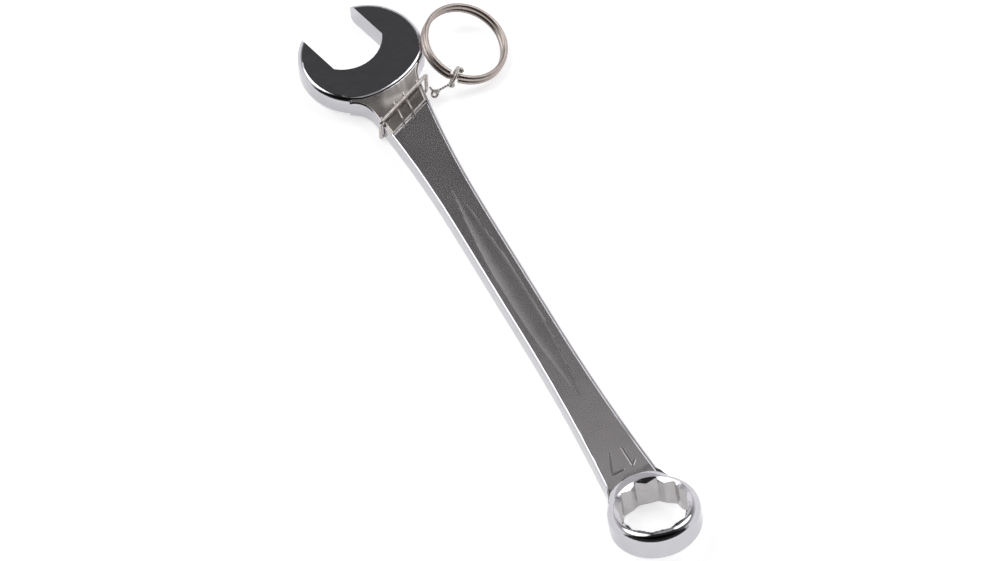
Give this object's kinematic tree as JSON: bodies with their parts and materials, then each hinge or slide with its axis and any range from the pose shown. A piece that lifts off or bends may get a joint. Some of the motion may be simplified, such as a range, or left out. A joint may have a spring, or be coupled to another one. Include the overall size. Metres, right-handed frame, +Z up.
{
  "type": "combination spanner",
  "caption": "Chrome combination spanner with an angled open jaw, a cranked twelve-point ring and a wire-lashed split ring for a drop-stop lanyard.",
  "frame": {"origin": "centre of the twelve-point socket, halfway through the ring head", "axes": "+X along the shank from the ring head to the open head; +Z up, out of the marked face, with the spanner lying at rest on a level surface; the split ring is on the -Y side"},
  "size_m": [0.1942, 0.0556, 0.014],
  "materials": {
    "polished_chrome": "mirror-polished chrome plate on forged steel",
    "tether_wire": "bright drawn stainless wire",
    "split_ring_nickel": "nickel-plated spring steel, bright and slightly warm"
  },
  "bodies": {
    "spanner": {"spanner_body": "polished_chrome", "upper_turn": "tether_wire", "thin_wire": "tether_wire", "cross_ties": "tether_wire", "neck_eye": "tether_wire"},
    "link": {"link_wire": "tether_wire"},
    "loop": {"ring_loop": "tether_wire", "loop_twist": "tether_wire"},
    "ring": {"split_ring": "split_ring_nickel"}
  },
  "joints": [
    {"name": "link_swing", "type": "hinge", "parent": "spanner", "child": "link", "pos_m": [0.1477, -0.01166, -0.00403], "axis": [1, 0, 0], "range_deg": [-6, 80]},
    {"name": "loop_swing", "type": "hinge", "parent": "link", "child": "loop", "pos_m": [0.1462, -0.01527, -0.00128], "axis": [-0.1923, -0.2627, 0.9455], "range_deg": [-40, 8]},
    {"name": "ring_spin", "type": "hinge", "parent": "loop", "child": "ring", "pos_m": [0.15685, -0.0245, -0.00168], "axis": [-0.1923, -0.2627, 0.9455], "continuous": true}
  ]
}
